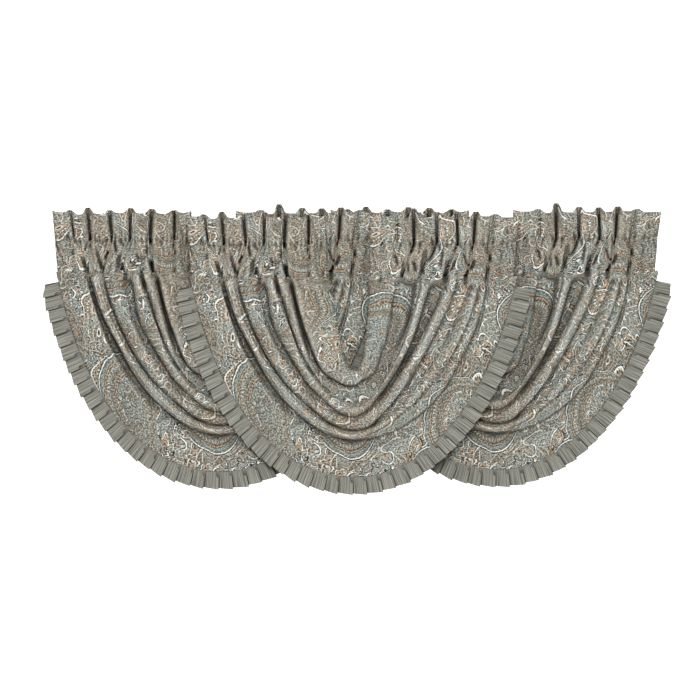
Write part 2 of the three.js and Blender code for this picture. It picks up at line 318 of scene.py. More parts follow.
def heading_points(side):
    """The band as an array (profile, place, xyz): up the front, over the frill's edge and down the back.

    The pocket bellies out between its stitching as a power of one minus the square of the height, and
    the frill swells above it as a quarter circle and then stands upright.
    """
    line = gathered_line(side)
    forward = line["forward"]
    level = np.ones_like(forward)
    seam_y = -UPPER_FORWARD * forward
    lower_y = -LOWER_FORWARD * (1 - LOWER_PINCH * (1 - forward)) - SEAM_CLOTH / 2
    frill_y = CLEFT_BACK - (FRILL_FORWARD + CLEFT_BACK) * forward
    front_y = POCKET_FRONT_Y + POCKET_HOLLOW * (1 - forward)
    top_z = FRILL_Z + line["rise"]

    def pocket(steps, bottom_y, top_y, middle_y, power):
        height = np.linspace(-1, 1, steps + 1)[:, None]
        sewn_y = bottom_y + (top_y - bottom_y) * (height + 1) / 2
        return sewn_y + (middle_y - sewn_y) * (1 - height**2) ** power, SEAM_Z * height * level

    def frill(steps, cloth_side):
        height = np.linspace(0, 1, steps + 1)[1:, None]
        swell = np.sqrt(1 - (1 - np.clip(height / BARREL, 0, 1)) ** 2)
        cloth = (SEAM_CLOTH + (FRILL_CLOTH - SEAM_CLOTH) * height) / 2
        return seam_y + (frill_y - seam_y) * swell + cloth_side * cloth, SEAM_Z + (top_z - SEAM_Z) * height

    turn = np.linspace(0, np.pi, EDGE_STEPS + 2)[1:-1, None]
    edge = (frill_y - FRILL_CLOTH / 2 * np.cos(turn), top_z + FRILL_CLOTH / 2 * np.sin(turn))
    back_frill = frill(BACK_STEPS, 1)
    back_seam_y = seam_y + SEAM_CLOTH / 2
    back_pocket = pocket(BACK_STEPS, back_seam_y, back_seam_y, POCKET_BACK_Y, BACK_POWER)
    parts = [
        pocket(POCKET_STEPS, lower_y, seam_y - SEAM_CLOTH / 2, front_y, FRONT_POWER),
        frill(FRILL_STEPS, -1),
        edge,
        tuple(part[::-1] for part in back_frill),
        tuple(part[::-1] for part in back_pocket),
    ]
    y, z = (np.concatenate([part[axis] for part in parts]) for axis in (0, 1))
    z = z - line["upper_sag"] * np.exp(-(((z - SEAM_Z) / ROW_REACH) ** 2))
    z = z - line["lower_sag"] * np.exp(-(((z + SEAM_Z) / ROW_REACH) ** 2))
    in_pocket = np.clip((z + SEAM_Z) / (2 * SEAM_Z), 0, 1)
    in_frill = np.clip((z - SEAM_Z) / (FRILL_Z - SEAM_Z), 0, LEAN_END)
    x = line["lower_x"] + (line["upper_x"] - line["lower_x"]) * in_pocket
    x = x + (line["frill_x"] - line["upper_x"]) * in_frill
    return np.stack([x, y, z], axis=-1)


# %% Slits between the gathers
SLIT_COLUMNS = ("top_x", "top_z", "low_x", "low_z", "half_width", "depth")
SLITS = {
    "left": np.array([
        [-371, 18, -371, -6, 4, 10],
        [-366, 40, -352, 20, 4, 10],
        [-348, 0, -333, -46, 7, 20],
        [-334, 38, -340, 8, 4, 12],
        [-313, 22, -294, -46, 6, 20],
        [-294, 38, -301, 14, 4, 11],
        [-280, 14, -291, -12, 5, 16],
        [-268, 40, -260, 4, 5, 17],
        [-253, 42, -241, 20, 5, 16],
        [-253, 8, -259, -46, 7, 18],
        [-251, -14, -233, -56, 5, 17],
        [-213, 6, -200, -20, 5, 15],
        [-202, -20, -189, -95, 6, 18],
        [-185, 34, -184, -8, 4, 12],
        [-181, -6, -163, -60, 6, 18],
        [-152, 40, -146, 14, 4, 9],
        [-120, 34, -112, -4, 5, 13],
    ]),
    "right": np.array([
        [64, -30, 62, -66, 4, 10],
        [100, 16, 107, -18, 5, 15],
        [122, 4, 114, -56, 5, 13],
        [133, -6, 133, -34, 4, 12],
        [149, 42, 139, 12, 5, 15],
        [145, 0, 154, -36, 6, 17],
        [178, 36, 163, -50, 8, 20],
        [206, 42, 183, -10, 5, 17],
        [206, 42, 216, 20, 5, 16],
        [220, 28, 213, -28, 5, 15],
        [233, 6, 224, -60, 9, 20],
        [253, 4, 236, -36, 5, 16],
        [256, 42, 272, 24, 5, 16],
        [268, 22, 283, -22, 4, 15],
        [299, 2, 287, -32, 6, 18],
        [289, -22, 264, -52, 5, 15],
        [325, 46, 326, 16, 4, 11],
        [333, -12, 327, -54, 6, 18],
        [338, 18, 338, -10, 4, 11],
        [368, 30, 362, -8, 4, 9],
    ]),
}
SLIT_END = 0.3  # share of its length over which a slit opens and closes


def slits(x, z, side):
    """How far each point is pushed in by the slits of the table.

    A slit runs along a slanting line: its depth falls off with the square of the way to its side, and
    eases in and out at both ends. Of all the slits that reach a point, the deepest counts.
    """
    slit = dict(zip(SLIT_COLUMNS, SLITS[side].T * MM))
    along = (slit["top_z"] - z[..., None]) / (slit["top_z"] - slit["low_z"])
    off = np.abs(x[..., None] - slit["top_x"] - (slit["low_x"] - slit["top_x"]) * along) / slit["half_width"]
    opened = ease(along / SLIT_END) * ease((1 - along) / SLIT_END)
    return (slit["depth"] * np.clip(1 - off**2, 0, 1) * opened).max(-1)


print({side: len(table) for side, table in SLITS.items()}, "slits")

# %% Darts from the stitching
DART_COLUMNS = ("row_z", "way", "count", "longest", "half_width", "deepest", "lean_from", "lean_to")
HEADING_DARTS = (
    (SEAM_Z, -1, 17, 46 * MM, 5 * MM, 12 * MM, -0.4, 0.4),  # from the upper row down into the pocket
    (SEAM_Z, 1, 15, 30 * MM, 5 * MM, 9 * MM, -0.2, 0.2),  # from the upper row up into the frill
    (-SEAM_Z, 1, 11, 40 * MM, 5 * MM, 10 * MM, -0.4, 0.4),  # from the lower row up into the pocket
)
DART_POINT = 0.6  # share of its width that a dart has lost at its far end
DART_PLACES = (0.1, 0.9)  # the draws for each dart: its place in its share of the row
DART_LENGTHS = (0.45, 1)
DART_WIDTHS = (0.6, 1.2)
DART_DEPTHS = (0.45, 1)


def darts(x, z, ends, dart_rows, seed):
    """How far each point is pushed in by short grooves that start at a row of stitching.

    A dart is a wedge: deep and wide at the stitching, narrow and shallow at its far end. Of all the
    darts that reach a point, the deepest counts.
    """
    draw = np.random.default_rng(seed)
    push = np.zeros_like(x)
    for dart_row in dart_rows:
        row = dict(zip(DART_COLUMNS, dart_row))
        slots = (np.arange(row["count"]) + draw.uniform(*DART_PLACES, row["count"])) / row["count"]
        start_x = ends[0] + (ends[1] - ends[0]) * slots
        length = row["longest"] * draw.uniform(*DART_LENGTHS, row["count"])
        width = row["half_width"] * draw.uniform(*DART_WIDTHS, row["count"])
        depth = row["deepest"] * draw.uniform(*DART_DEPTHS, row["count"])
        lean = draw.uniform(row["lean_from"], row["lean_to"], row["count"])
        away = (row["way"] * (z - row["row_z"]))[..., None]
        along = np.clip(away / length, 0, 1)
        off = np.abs(x[..., None] - start_x - lean * away) / (width * (1 - DART_POINT * along))
        wedge = np.clip(1 - off, 0, 1) * np.sqrt(1 - along) * (away >= 0)
        push = np.maximum(push, (depth * wedge).max(-1))
    return push


print([dart_row[2] for dart_row in HEADING_DARTS], "darts in the rows of a heading")

# %% Crease and unroll the headings
PUCKER_DEEP = 5.5 * MM  # puckers along the stitching
PUCKER_REACH = 10 * MM
PUCKER_WAVES = (9, 17 * MM, 8 * MM)  # how many waves, the longest and the shortest
PUCKER_SLANT = 0.15  # how much they change up the band, against along it
LOWER_PUCKERS = 0.4  # share of their depth at the lower row
DENT_DEEP = 1.4 * MM  # soft dents all over
DENT_WAVES = (10, 60 * MM, 20 * MM)
DENT_SLANT = 0.6
ROD_FRONT_Y = -12 * MM  # creases stop before the rod
ROD_CLEAR = 18 * MM  # and go this much deeper at the stitching


def crease_heading(points, side):
    """Moves the front in: slits, darts, puckers that fade away from the stitching, and soft dents."""
    x, y, z = np.moveaxis(points, -1, 0)
    seed = HEADING_SEEDS[side]
    from_seam = np.minimum(np.abs(z - SEAM_Z), np.abs(z + SEAM_Z))
    held = np.exp(-from_seam / PUCKER_REACH)
    puckers = soft_noise(x, PUCKER_SLANT * z, *PUCKER_WAVES, seed)
    dents = soft_noise(x, DENT_SLANT * z, *DENT_WAVES, seed + 2)
    push = darts(x, z, (x.min(), x.max()), HEADING_DARTS, seed + 1)
    push = np.maximum(push, slits(x, z, side))
    push = push + PUCKER_DEEP * puckers * held * np.where(z > 0, 1, LOWER_PUCKERS)
    push = push + DENT_DEEP * dents * (1 - held)
    front = 1 - np.clip(y / POCKET_BACK_Y, 0, 1)
    deepest = ROD_FRONT_Y + ROD_CLEAR * (z / SEAM_Z) ** 2
    points[..., 1] = np.where(y < deepest, np.minimum(y + push * front, deepest), y)
    return points


def unroll_heading(points):
    """Flat places: the way along the frill's front, where it is free, and the way round the profile."""
    frill = POCKET_STEPS + FRILL_STEPS
    along = run_lengths(points[[frill]], 1)
    around = run_lengths(points, 0).mean(1, keepdims=True)
    flat = np.stack(np.broadcast_arrays(along, around), axis=-1)
    return flat, (float(along.max()), float(around.max()))


EDGE_REACH = 14 * MM  # over this height the painted shade of a cleft fades out at the frill's upper edge

HEADINGS = {}
for side in PINCHES:
    band = crease_heading(heading_points(side), side)
    lit = ease((band[..., 2] - FRILL_Z + EDGE_REACH) / EDGE_REACH)
    crease = (crease_depth(band, 1) * (1 - lit)).astype(np.float32)
    HEADINGS[side] = (band, crease, *unroll_heading(band))
    print("heading", side, band.shape, "cut", [round(x, 3) for x in HEADINGS[side][-1]])

# %% [markdown]
# ## The swag
# The panel hangs from both headings at once, so each fold runs down from the left heading, round a low
# point and up to the right heading. The folds are a table: one row for each crest and groove, from the
# neckline to the hem, as uneven as real gathers are. Between a crest and the next groove the cloth
# rolls over and hangs a little, so it shades the groove below it. A cloth simulation could find folds
# too, but not these ones.

# %% The table of folds
SEW_GAP = 0.3 * MM  # between the pocket and the swag in the frame
FOLD_COLUMNS = (
    "left_x", "left_half_x", "left_low_x", "left_y", "bottom_z", "bottom_y",
    "right_y", "right_low_x", "right_half_x", "right_x",
)
FOLD_TABLE = np.array([
    [-68, -44, -29, -8, -274, -18, -9, 18, 29, 34],  # neckline
    [-126, -104, -60, -20, -290, -27, -22, 28, 57, 66],  # cowl
    [-153, -116, -75, -22, -304, -22, -16, 40, 78, 92],  # edge of the cowl
    [-160, -126, -78, 3, -317, -2, -1, 46, 84, 106],  # crease below the cowl
    [-166, -130, -80, 3, -334, -8, 9, 62, 116, 154],  # and the end of its floor, broad on the right
    [-175, -138, -82, -22, -346, -7, -6, 66, 122, 164],  # side roll, on the left
    [-196, -150, -84, -8, -354, -11, -16, 68, 124, 171],  # faint groove beside it
    [-214, -153, -82, -27, -372, -28, -28, 57, 127, 181],  # long roll
    [-228, -178, -86, 5, -393, -8, 3, 58, 137, 194],  # second groove
    [-244, -189, -94, -1, -399, -13, 5, 62, 147, 230],  # and the end of its floor
    [-274, -202, -102, -18, -412, -20, -26, 74, 163, 248],  # second roll
    [-295, -226, -108, 3, -426, -4, -9, 82, 178, 265],  # third groove
    [-304, -232, -112, -16, -431, -10, -16, 90, 191, 281],  # low roll, on the right
    [-311, -235, -115, -24, -434, -18, -8, 97, 206, 296],  # faint groove, on the right
    [-318, -239, -119, -28, -439, -24, -24, 102, 224, 310],  # outer roll
    [-324, -243, -123, -24, -443, -20, -12, 116, 240, 318],  # faint groove, on the right
    [-326, -243, -127, -18, -446, -14, -19, 132, 255, 324],  # last roll, on the right
    [-331, -251, -131, 6, -451, 1, -5, 148, 270, 331],  # outer groove
    [-337, -261, -138, 5, -457, 4, -5, 153, 276, 335],  # and the end of its floor
    [-341, -266, -144, -13, -474, 7, -10, 158, 281, 339],  # edge of the smooth band
    [-375, -302, -170, -7, -513, -2, -7, 169, 303, 370],  # smooth band
    [-412, -332, -191, 0, -542, 0, 0, 178, 320, 404],  # hem
])
FOLD = {name: column[:, None] * MM for name, column in zip(FOLD_COLUMNS, FOLD_TABLE.T)}
FOLD_ROWS = len(FOLD_TABLE)
PINCHED = 0.85  # share of a fold's depth left where the stitching pinches it
PINCH_RUN = 0.14  # share of the way to the bottom over which the fold opens out
WANDER = 0.22  # how far a fold strays, as a share of the way to its neighbours
WANDER_SEED = 3
WANDER_WAVES = (9, 1.4, 0.5)  # how many waves, the longest and the shortest
WANDER_SCALE = (2, 0.8)  # how fast they change along a fold and from one row to the next
print(FOLD_ROWS, "rows of folds")


# %% Lines of the folds
def fold_lines(across):
    """The line of every fold, as an array (fold, place, xyz), for places from -1, left, to 1, right.

    Seen from the front each half passes the table's places: at the stitching, where it has dropped half
    of its drop, low down, and at the bottom. The drop follows a sine of the way, and those places lie
    at even thirds of it, so x is the cubic through four even places. The depth eases from the side's
    own to the bottom's, and shrinks to a pinch at the stitching. In between each line strays towards
    its neighbours and back.
    """
    down = 1 - np.abs(across)[None, :]
    third = 3 * down
    at_top = -(third - 1) * (third - 2) * (third - 3) / 6
    at_half = third * (third - 2) * (third - 3) / 2
    at_low = -third * (third - 1) * (third - 3) / 2
    start_z = -SEAM_Z - SEW_GAP
    z = start_z + (FOLD["bottom_z"] - start_z) * np.sin(np.pi / 2 * down)
    opened = PINCHED + (1 - PINCHED) * ease(down / PINCH_RUN)
    to_bottom = ease((down - PINCH_RUN) / (1 - PINCH_RUN))
    halves = []
    for side in ("left", "right"):
        x = FOLD[side + "_x"] * at_top + FOLD[side + "_half_x"] * at_half + FOLD[side + "_low_x"] * at_low
        y = FOLD[side + "_y"] + (FOLD["bottom_y"] - FOLD[side + "_y"]) * to_bottom
        halves.append(np.stack([x, opened * y, z], axis=-1))
    lines = np.where((across < 0)[None, :, None], halves[0], halves[1])
    place, row = np.meshgrid(across, np.arange(1, FOLD_ROWS - 1))
    along, between = WANDER_SCALE
    waves = soft_noise(place * along, row * between, *WANDER_WAVES, WANDER_SEED)
    stray = WANDER * waves * ease(down / PINCH_RUN)
    inside = lines[1:-1] + stray[..., None] * (lines[2:] - lines[:-2]) / 2 * [1, 0, 1]
    return np.concatenate([lines[:1], inside, lines[-1:]])


# %% The swag's surface
ROLL = 0.7  # how round a roll is: 0 is a soft wave, 1 is a full half round
HANG = 0.2  # how far a roll hangs over the groove below it, as a share of the way there
FULL_ROLL = 12 * MM  # a fall of this depth makes a whole roll
SOFTEN = 1  # passes that round off the cloth across its folds


def swag_points(across, fold):
    """The panel as an array (fold, place, xyz). fold counts the rows of the table.

    From one row to the next the place moves evenly and the depth swings. A swing back from a crest
    keeps the crest's level and drops late, a swing up from a groove rises early: both are quarter
    circles mixed with an easy wave. A roll's place runs ahead of its fall, so that it hangs over the
    groove.
    """
    lines = fold_lines(across)
    row = np.minimum(fold.astype(int), FOLD_ROWS - 2)
    share = (fold - row)[:, None]
    start, end = lines[row], lines[row + 1]
    fall = end[..., 1] - start[..., 1]
    quarter = np.where(fall > 0, 1 - np.sqrt(1 - share**2), np.sqrt(1 - (1 - share) ** 2))
    swing = ROLL * quarter + (1 - ROLL) * ease(share)
    ahead = share + HANG * np.clip(fall / FULL_ROLL, 0, 1) * np.sin(np.pi * share)
    points = start + (end - start) * ahead[..., None]
    points[..., 1] = start[..., 1] + fall * swing
    for _ in range(SOFTEN):
        points[1:-1] = (points[:-2] + 2 * points[1:-1] + points[2:]) / 4
    return points


ACROSS_STEPS = 200
FOLD_STEPS = 10
ACROSS = np.linspace(-1, 1, ACROSS_STEPS + 1)
FOLDS_DOWN = np.linspace(0, FOLD_ROWS - 1, (FOLD_ROWS - 1) * FOLD_STEPS + 1)
SWAG = swag_points(ACROSS, FOLDS_DOWN)
print("swag reaches from", SWAG.min((0, 1)).round(3), "to", SWAG.max((0, 1)).round(3))

# %% [markdown]
# ## Small creases
# A table of folds alone looks moulded. Real jacquard also has short creases: little gathers that run
# out below the stitching, and soft dents along the rolls. They are worked out as sums of waves with
# fixed phases, the gathers strongest below the stitching, and they push the sheet forwards and back by a
# few millimetres.

# %% Crease the swag and sew it to the headings
CREASE_SEED = 7
SWAG_DARTS = {
    "left": ((-SEAM_Z, -1, 6, 90 * MM, 6 * MM, 6 * MM, 0.15, 0.4),),
    "right": ((-SEAM_Z, -1, 6, 90 * MM, 6 * MM, 6 * MM, -0.4, -0.15),),
}
GATHER_DEEP = 2.0 * MM  # small gathers that run along the folds
GATHERS_LEFT = 0.45  # share of their depth left at the lowest point
GATHER_WAVES = (9, 3.0, 1.2)  # how many waves, the longest and the shortest
GATHER_SCALE = (0.9, 1)  # how fast they change along a fold and from one row to the next
SWAG_DENT_WAVES = (14, 1.6, 0.35)
SWAG_DENT_SCALE = (4, 0.45)
CALM_NECK, CALM_HEM = 1.2, 2.2  # rows of the table over which they grow, at the neckline and at the hem
GROOVE_Y = 8 * MM  # no slit or dart goes deeper than this
SEWN_RUN = 0.06  # share of the way to the bottom over which the gathers of the stitching fade
TUCK = 0.4 * MM  # the swag's top edge goes this far up and behind the pocket


def swag_dents(across, fold):
    """How far each point is pushed back: soft dents, and gathers that run along the folds and fade.

    Both are sums of waves over the place along a fold and the row of the table. There are none at the
    stitching, at the neckline and on the smooth band at the hem.
    """
    place, row = np.meshgrid(across, fold)
    dents, gathers = (
        soft_noise(place * along, row * between, *waves, seed)
        for (along, between), waves, seed in (
            (SWAG_DENT_SCALE, SWAG_DENT_WAVES, CREASE_SEED),
            (GATHER_SCALE, GATHER_WAVES, CREASE_SEED + 1),
        )
    )
    down = 1 - np.abs(place)
    push = DENT_DEEP * dents + GATHER_DEEP * gathers * (1 - (1 - GATHERS_LEFT) * ease(down))
    inside = ease(row / CALM_NECK) * ease((FOLD_ROWS - 1 - row) / CALM_HEM)
    return push * inside * ease(down / SEWN_RUN)


def sew_to_headings(points, across):
    """Moves the swag's top to the depth of the pocket's lower edge at the same x, and fades that out."""
    for side, here in (("left", across < 0), ("right", across >= 0)):
        edge = HEADINGS[side][0][0]
        order = np.argsort(edge[:, 0])
        seam_y, seam_z = (
            np.interp(points[:, here, 0], edge[order, 0], edge[order, axis]) for axis in (1, 2)
        )
        free = ease((1 - np.abs(across[here])) / SEWN_RUN)
        points[:, here, 1] = (seam_y + TUCK) * (1 - free) + points[:, here, 1] * free
        points[:, here, 2] += (seam_z + SEAM_Z) * (1 - free)
        x, z = points[:, here, 0], points[:, here, 2]
        push = darts(x, z, (edge[:, 0].min(), edge[:, 0].max()), SWAG_DARTS[side], CREASE_SEED + 2)
        push = np.maximum(push, slits(x, z, side))
        points[:, here, 1] += push * free * np.clip(1 - points[:, here, 1] / GROOVE_Y, 0, 1)
    points[:, [0, -1], 2] += SEW_GAP + TUCK
    return points


SWAG[..., 1] += swag_dents(ACROSS, FOLDS_DOWN)
SWAG = sew_to_headings(SWAG, ACROSS)
print("swag is", [round(float(x / MM), 1) for x in (SWAG[..., 1].min(), SWAG[..., 1].max())], "mm deep")

# %% [markdown]
# ## The swag's flat cut
# Before it was sewn the panel was a flat piece, wider at the hem than at the neck: a slice of a ring.
# Walking the sheet along its folds and across them gives the lengths of both edges and its depth, and
# those give the ring's radius. Each point then gets its place on that slice, which is where the figure
# was woven.


# %% Unroll the swag
def unroll_swag(points):
    """Flat places on a slice of a ring: the depth below the neck is the radius, the way round the angle."""
    round_the_fold = run_lengths(points, 1)
    middle = round_the_fold[:, [ACROSS_STEPS // 2]]
    from_middle = round_the_fold - middle
    neck, hem = (np.ptp(round_the_fold[row]) / 2 for row in (0, -1))
    depths = run_lengths(points, 0)
    depth = depths[-1].mean()
    half_angle = (hem - neck) / depth
    inner = neck / half_angle
    radius = inner + depth - (depths[-1] - depths)
    angle = from_middle / radius
    flat = np.stack([radius * np.sin(angle), -radius * np.cos(angle)], axis=-1)
    outer = inner + depth
    size = (2 * outer * math.sin(half_angle), outer - inner * math.cos(half_angle))
    return flat, size, half_angle * (outer**2 - inner**2)


SWAG_FLAT, SWAG_CUT, SWAG_AREA = unroll_swag(SWAG)
SWAG_CREASE = crease_depth(SWAG, 0)
print("swag cut from", [round(x, 3) for x in SWAG_CUT], "m, area", round(SWAG_AREA, 3), "m2")

# %% [markdown]
# ## The knife-pleated trim
# Knife pleats all lie one way: a strip is folded so that each face ends in a sharp edge, doubles back
# under itself and comes out again as the next face. Drawn from above, one pleat is a short zigzag. That
# zigzag is carried along the hem, flat where it is sewn behind the panel and open at the free edge,
# where the corner of each face hangs a little below its neighbour. A column of the table says how much
# shade is painted into the cloth's colour under each edge.

# %% One pleat and the strip
PLEATS = 42
TRIM_WIDTH = 42 * MM
TRIM_LAP = 4 * MM  # sewn behind the hem
TRIM_ENDS = 0.02  # share of the hem left bare at each end
TRIM_BEHIND = 1.4 * MM  # behind the panel's face
PLEAT_KICK = 5 * MM  # the free corner hangs this far below its neighbour
SEWN_SHARE = 0.4  # how open the pleats are where they are sewn
TRIM_ROWS = 9
PLEAT_SEED = 5
PLEAT_STRAY = 0.05  # the draws for each pleat: how far its edge strays, as a share of its width
PLEAT_BACKS = (0.85, 1.1)  # how deep it is
PLEAT_KICKS = (0.6, 1.2)  # and how far its corner hangs down
PLEAT_COLUMNS = ("along", "back", "kick", "shade")
PLEAT = np.array([
    [-0.42, 5.6, 0.0, 1.0],  # fold hidden under the pleat before
    [-0.38, 4.9, 0.0, 1.0],
    [-0.20, 4.6, 0.0, 1.0],
    [0.00, 4.2, 0.0, 1.0],  # comes out from under it
    [0.06, 3.9, 0.06, 0.8],
    [0.11, 3.5, 0.11, 0.1],
    [0.30, 2.5, 0.3, 0.0],
    [0.65, 1.2, 0.65, 0.0],
    [0.92, 0.3, 0.92, 0.0],
    [0.99, 0.0, 1.0, 0.0],  # sharp free edge
    [1.01, 0.5, 1.0, 0.3],
    [0.98, 1.1, 1.0, 1.0],
    [0.80, 1.9, 0.8, 1.0],
    [0.62, 4.8, 0.6, 1.0],
])
SHADE_FROM_SEAM = 0.5  # share of the width over which the shade under a pleat grows
FREE_FROM = 0.65  # share of a pleat that starts where the pleat before it ends


def trim_points():
    """The strip as an array (width, place, xyz), and how much its neighbours shade it.

    Each pleat's zigzag is set along the hem and square to it, and starts where the pleat before it
    ends.
    """
    hem = SWAG[-1]
    walked = run_lengths(hem, 0)
    draw = np.random.default_rng(PLEAT_SEED)
    wander = draw.uniform(-PLEAT_STRAY, PLEAT_STRAY, PLEATS)
    zigzag = dict(zip(PLEAT_COLUMNS, PLEAT.T))
    own = np.clip(zigzag["along"] / FREE_FROM, 0, 1)
    shift = np.roll(wander, 1)[:, None] * (1 - own) + wander[:, None] * own
    along = (np.arange(PLEATS)[:, None] + zigzag["along"] + shift).reshape(-1) / PLEATS
    back = (zigzag["back"] * draw.uniform(*PLEAT_BACKS, (PLEATS, 1))).reshape(-1) * MM
    kick = (zigzag["kick"] * draw.uniform(*PLEAT_KICKS, (PLEATS, 1))).reshape(-1) * PLEAT_KICK
    share = TRIM_ENDS + (1 - 2 * TRIM_ENDS) * np.clip(along, 0, 1)
    at = share * walked[-1]
    x, z = (np.interp(at, walked, hem[:, axis]) for axis in (0, 2))
    run = np.gradient(np.stack([hem[:, 0], hem[:, 2]], axis=-1), walked, axis=0)
    run_x, run_z = (np.interp(at, walked, run[:, axis]) for axis in (0, 1))
    width = np.linspace(0, 1, TRIM_ROWS)[:, None]
    outwards = -TRIM_LAP + (TRIM_WIDTH + TRIM_LAP + kick) * width
    opened = SEWN_SHARE + (1 - SEWN_SHARE) * ease(width)
    y = TRIM_BEHIND + back * opened
    shade = np.tile(zigzag["shade"], PLEATS) * ease(width / SHADE_FROM_SEAM)
    return np.stack([x + run_z * outwards, y, z - run_x * outwards], axis=-1), shade


TRIM, TRIM_SHADE = trim_points()
TRIM_ALONG = run_lengths(TRIM, 1).mean(0)[None, :]
TRIM_ACROSS = np.linspace(0, TRIM_WIDTH + TRIM_LAP, TRIM_ROWS)[:, None]
TRIM_FLAT = np.stack(np.broadcast_arrays(TRIM_ALONG, TRIM_ACROSS), axis=-1)
TRIM_CUT = tuple(float(x) for x in TRIM_FLAT.max((0, 1)))
print("trim strip", TRIM.shape, "cut", [round(x, 3) for x in TRIM_CUT])

# %% [markdown]
# ## Writing shader maths
# A woven figure is a long sum of masks and bands, and wiring hundreds of nodes by hand is hard to read.
# So one small class stands for a socket: arithmetic between sockets adds Math nodes, and one method
# adds any other node. After this the materials read like formulas.


# %% A socket with operators
HARD_EDGE = 0.01


class Wire:
    """One output socket of a node tree. Arithmetic with wires and numbers adds Math nodes."""

    def __init__(self, tree, socket=None):
        self.tree = tree
        self.socket = socket

    def node(self, kind, settings, inputs, output=0):
        """Adds a node with its settings, a ramp's stops among them, and its sockets' values or links."""
        made = self.tree.nodes.new("ShaderNode" + kind)
        settings = dict(settings)
        stops = settings.pop("stops", ())
        for name, value in settings.items():
            setattr(made, name, value)
        for _ in stops[2:]:
            made.color_ramp.elements.new(1)
        for number, (place, colour) in enumerate(stops):
            made.color_ramp.elements[number].position = place
            made.color_ramp.elements[number].color = colour
        for key, value in inputs.items():
            if isinstance(value, Wire):
                self.tree.links.new(value.socket, made.inputs[key])
            else:
                made.inputs[key].default_value = value
        return Wire(self.tree, made.outputs[output])

    def sibling(self, output):
        """Another output of the node that this wire comes from."""
        return Wire(self.tree, self.socket.node.outputs[output])

    def math(self, operation, *values):
        """Adds a Math node with this wire as its first value."""
        return self.node("Math", {"operation": operation}, dict(enumerate((self, *values))))

    def __add__(self, other):
        return self.math("ADD", other)

    def __sub__(self, other):
        return self.math("SUBTRACT", other)

    def __mul__(self, other):
        return self.math("MULTIPLY", other)

    def __truediv__(self, other):
        return self.math("DIVIDE", other)

    def step(self, start, end):
        """A mask: 0 before start and 1 after end, or the other way round where end is the smaller."""
        return self.node("MapRange", {"interpolation_type": "SMOOTHSTEP"}, {0: self, 1: start, 2: end})

    def above(self, limit):
        """A mask with a hard edge: 1 where this value is more than a limit."""
        return self.step(limit, limit + HARD_EDGE)

    def between(self, low, high, blur):
        """A mask: 1 from low to high, with soft edges."""
        return self.step(low - blur, low + blur) * self.step(high + blur, high - blur)

    def bands(self, stops):
        """Bands of colour along this value, from a table of places and colours."""
        return self.node("ValToRGB", {"stops": stops}, {0: self})

    def over(self, colour, mask):
        """This colour, with another one laid over it where the mask is 1."""
        return self.node("Mix", {"data_type": "RGBA"}, {0: mask, 6: self, 7: colour}, 2)


def thread(red, green, blue):
    """A thread's colour, from the red, green and blue of a screen to the linear values that shading uses."""
    screen = np.array([red, green, blue]) / 255
    linear = np.where(screen <= 0.04045, screen / 12.92, ((screen + 0.055) / 1.055) ** 2.4)
    return (*linear.tolist(), 1.0)


print("sRGB 128 is", round(thread(128, 128, 128)[0], 4), "in linear light")

# %% [markdown]
# ## The paisley jacquard
# The panels are woven in a few threads: a grey ground, tan, aqua, cream and a dark outline. The figure
# is dense paisley: large drops with curled tips, ringed with bands and petals, small drops, sprays,
# rosettes and pale blossoms between them, and fine scrolls in all that is left. The scrolls and
# blossoms are contour lines of noises. The other kinds are scattered by Voronoi textures, which give
# the middle of the nearest cell. Measured from there, a drop is one formula for how far out a point
# lies, and a ramp turns that into bands. The figure is worked out on the flat cloth, so it bends into
# every fold. A drawn picture of the cloth would be simpler, but it would need a file, and it would blur
# close up.

# %% Threads
GROUND = thread(142, 140, 129)
DUSK = thread(117, 114, 104)
TAN = thread(175, 151, 126)
AQUA = thread(147, 161, 158)
LIGHT = thread(197, 195, 186)
CREAM = thread(234, 233, 226)
DARK = thread(62, 60, 54)
# not a thread: the colour of the painted shade at the bottom of the creases
PAINTED_SHADE = thread(20, 17, 13)
UMBER = thread(116, 105, 91)


# %% Scattered places and the shape of a drop
FULL_TURN = 2 * math.pi
DROP_COLUMNS = ("cell", "uneven", "length", "width", "taper", "curl")
DROPS = {
    "spray": (46 * MM, 0.9, 24 * MM, 0.5, 0.8, 0.7),
    "small": (120 * MM, 0.75, 48 * MM, 0.5, 1.0, 0.8),
    "large": (300 * MM, 0.6, 155 * MM, 0.42, 0.9, 0.75),
}
PETAL_CLOSE = 1.6  # how fast a petal closes towards its two ends
PETAL_LIFT = 0.6  # more of it makes the petals wider


def scatter(place, cell, uneven):
    """Cells of one size: the place from the middle of its cell, as x and y, and two numbers of the cell."""
    cells = {"Vector": place, "Scale": 1 / cell, "Randomness": uneven}
    colour = place.node("TexVoronoi", {"voronoi_dimensions": "2D", "feature": "F1"}, cells, "Color")
    away = place.node("VectorMath", {"operation": "SUBTRACT"}, {0: place, 1: colour.sibling("Position")})
    turn = colour.node("SeparateColor", {}, {0: colour})
    spin = {"Vector": away, "Angle": turn * FULL_TURN}
    turned = place.node("VectorRotate", {"rotation_type": "Z_AXIS"}, spin)
    x = turned.node("SeparateXYZ", {}, {0: turned})
    return x, x.sibling(1), turn.sibling(1), turn.sibling(2)


def drop(x, y, length, width, taper, curl):
    """How far out a point lies in a paisley drop, 1 at its edge, and the way round it in turns.

    The middle line bends to one side with the square of the height, and the width shrinks with the
    height as an exponential, so the foot is round and the tip is a curled point.
    """
    height = y / length
    upper = height.math("MAXIMUM", 0.0)
    bent = x / length - upper * upper * curl
    across = bent * (height * taper).math("EXPONENT") / width
    level = (across * across + height * height).math("SQRT")
    return level, height.math("ARCTAN2", across) / FULL_TURN


